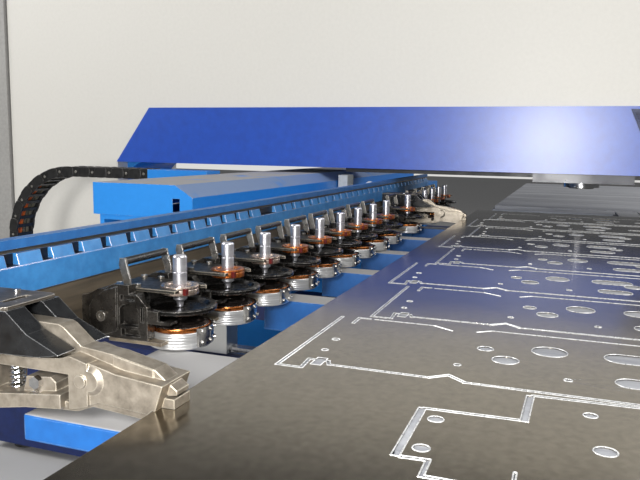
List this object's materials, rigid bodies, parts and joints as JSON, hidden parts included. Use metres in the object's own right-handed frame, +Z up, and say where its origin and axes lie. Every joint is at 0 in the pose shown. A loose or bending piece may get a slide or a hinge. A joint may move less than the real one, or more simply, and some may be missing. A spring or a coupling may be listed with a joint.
{
  "type": "cnc punch press with linear tool magazine",
  "caption": "C-frame CNC punch press: a cross slide with side tables carries a rail that clamps a metal sheet and holds a straight row of punch and die cassettes.",
  "frame": {"origin": "on the floor under the punch axis", "axes": "+X along the transverse rail, +Y from the punch axis towards the column, +Z up"},
  "size_m": [6.54, 4.631, 2.28],
  "materials": {
    "blue_paint": "satin paint, worn at the edges",
    "band_blue": "fine-textured paint",
    "dusty_blue": "paint under grey dust",
    "tab_blue": "paint worn to metal at the edges",
    "navy_paint": "satin paint",
    "cream_panel": "smooth powder coat",
    "grey_panel": "smooth powder coat",
    "black_pan": "matt paint",
    "vent_mesh": "dark slats",
    "table_steel": "ground plate",
    "rail_steel": "oily ground steel",
    "machined_steel": "machined",
    "polished_steel": "ground",
    "cassette_iron": "oiled dark casting",
    "foot_iron": "as cast",
    "dark_screw": "black oxide",
    "arm_steel": "dark plate with bare edges",
    "beige_steel": "bare plate",
    "handle_steel": "bare strip",
    "grip_rubber": "black sleeve",
    "ring_steel": "ground, some copper toned",
    "punch_chrome": "ground and polished",
    "stripper_black": "black oxide with oil",
    "die_steel": "dark tool steel",
    "copper_band": "bare copper alloy",
    "die_aluminium": "turned",
    "spring_clip": "bright spring steel",
    "jaw_cast": "blasted casting",
    "hood_black": "satin paint, bare at the edges",
    "bright_bolt": "zinc plated",
    "spring_wire": "bright wire",
    "sheet_steel": "mill finish with an oil film",
    "chain_plastic": "dusty nylon",
    "white_plastic": "plain",
    "brush": "bristle strip"
  },
  "bodies": {
    "frame": {"c_frame": "blue_paint", "plinth": "blue_paint", "levelling_feet": "foot_iron", "side_covers": "cream_panel", "arm_bands": "band_blue", "vent_pads": "vent_mesh", "nose_cover": "cream_panel", "top_cover": "cream_panel", "arm_pan": "black_pan", "rear_cabinet": "grey_panel", "base_covers": "blue_paint", "head_housing": "navy_paint", "ram_cylinder": "machined_steel", "die_housing": "machined_steel", "centre_table": "table_steel", "centre_brushes": "brush", "outriggers": "blue_paint", "y_guides": "polished_steel", "chain_tray": "machined_steel"},
    "cross_slide": {"cross_beam": "blue_paint", "slide_cover": "dusty_blue", "x_carriages": "machined_steel", "y_carriages": "machined_steel", "slide_arms": "blue_paint", "chain_bracket": "band_blue", "energy_chain": "chain_plastic", "hose_comb": "white_plastic", "table_beams": "blue_paint", "table_decks": "table_steel", "table_brushes": "brush"},
    "rail": {"rail_beam": "rail_steel", "rail_flange": "blue_paint", "tab_strip": "tab_blue", "x_guides": "polished_steel", "cassette_bodies": "cassette_iron", "cassette_screws": "dark_screw", "arm_plates": "arm_steel", "lower_plates": "beige_steel", "retaining_fingers": "cassette_iron", "handle_legs": "handle_steel", "handle_grips": "grip_rubber", "alignment_rings": "ring_steel", "punches": "punch_chrome", "strippers": "stripper_black", "dies": "die_steel", "copper_bands": "copper_band", "die_rings": "die_aluminium", "die_brackets": "spring_clip", "clamp_lower_jaws": "jaw_cast", "clamp_hoods": "hood_black", "clamp_caps": "arm_steel", "clamp_fasteners": "bright_bolt", "spring_left": "spring_wire", "spring_right": "spring_wire", "metal_sheet": "sheet_steel"},
    "ram": {"ram": "polished_steel"},
    "upper_spindle": {"punch_spindle": "machined_steel"},
    "lower_spindle": {"die_spindle": "polished_steel"},
    "flap": {"chute_flap": "machined_steel"},
    "left_jaw": {"clamp_jaw_left": "jaw_cast"},
    "right_jaw": {"clamp_jaw_right": "jaw_cast"}
  },
  "joints": [
    {"name": "slide_y", "type": "slide", "parent": "frame", "child": "cross_slide", "axis": [0, 1, 0], "range_m": [-0.686, 0.79]},
    {"name": "rail_x", "type": "slide", "parent": "cross_slide", "child": "rail", "axis": [1, 0, 0], "range_m": [-0.43, 2.54]},
    {"name": "ram_z", "type": "slide", "parent": "frame", "child": "ram", "axis": [0, 0, -1], "range_m": [0, 0.045]},
    {"name": "upper_turn", "type": "hinge", "parent": "ram", "child": "upper_spindle", "pos_m": [0, 0, 1.13], "axis": [0, 0, 1], "continuous": true},
    {"name": "lower_turn", "type": "hinge", "parent": "frame", "child": "lower_spindle", "pos_m": [0, 0, 0.9], "axis": [0, 0, 1], "continuous": true},
    {"name": "flap_hinge", "type": "hinge", "parent": "frame", "child": "flap", "pos_m": [0, -0.298, 0.9685], "axis": [1, 0, 0], "range_deg": [0, 35]},
    {"name": "left_jaw_hinge", "type": "hinge", "parent": "rail", "child": "left_jaw", "pos_m": [-2.826, 0.581, 1.024], "axis": [-1, 0, 0], "range_deg": [0, 8], "stiffness_Nm_per_rad": 60, "springref_deg": -11.46, "deforming": ["spring_left"]},
    {"name": "right_jaw_hinge", "type": "hinge", "parent": "rail", "child": "right_jaw", "pos_m": [-0.486, 0.581, 1.024], "axis": [-1, 0, 0], "range_deg": [0, 8], "stiffness_Nm_per_rad": 60, "springref_deg": -11.46, "deforming": ["spring_right"]}
  ],
  "couplings": [
    {"joint": "upper_turn", "follows": "lower_turn", "ratio": 1}
  ]
}
